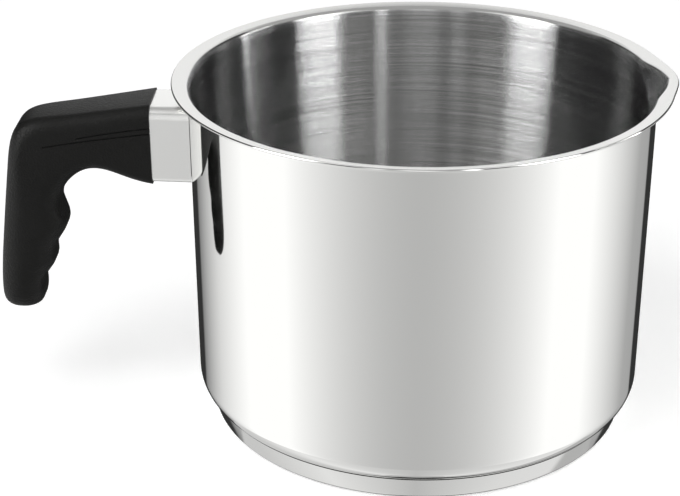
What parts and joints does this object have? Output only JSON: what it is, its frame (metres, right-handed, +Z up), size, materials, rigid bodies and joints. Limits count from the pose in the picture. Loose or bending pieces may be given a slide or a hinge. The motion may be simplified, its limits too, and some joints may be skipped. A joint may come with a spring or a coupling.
{
  "type": "milk pan",
  "caption": "Small steel saucepan with an upright wall, flared pouring lip, pressed spout, thick capsule base and a black pistol handle.",
  "frame": {"origin": "centre of the base's underside, on the surface that the pan stands on", "axes": "+Z up along the vessel's axis, +X towards the spout, -X along the handle, +Y completes a right-handed frame"},
  "size_m": [0.2103, 0.1516, 0.109],
  "materials": {
    "vessel_steel": "mirror polished outside, brushed round the axis inside",
    "core_aluminium": "plain",
    "cap_steel": "mirror polished side, turned underside",
    "ferrule_steel": "polished",
    "plain_steel": "plain zinc-grey",
    "grip_black": "satin moulded phenolic with a fine grain"
  },
  "bodies": {
    "root": {"pan_shell": "vessel_steel", "base_core": "core_aluminium", "base_cap": "cap_steel", "handle_bracket": "plain_steel", "bracket_nut": "plain_steel", "ferrule": "ferrule_steel", "handle_grip": "grip_black", "flat_washer": "plain_steel", "spring_washer": "plain_steel", "tie_screw": "plain_steel"}
  },
  "joints": []
}
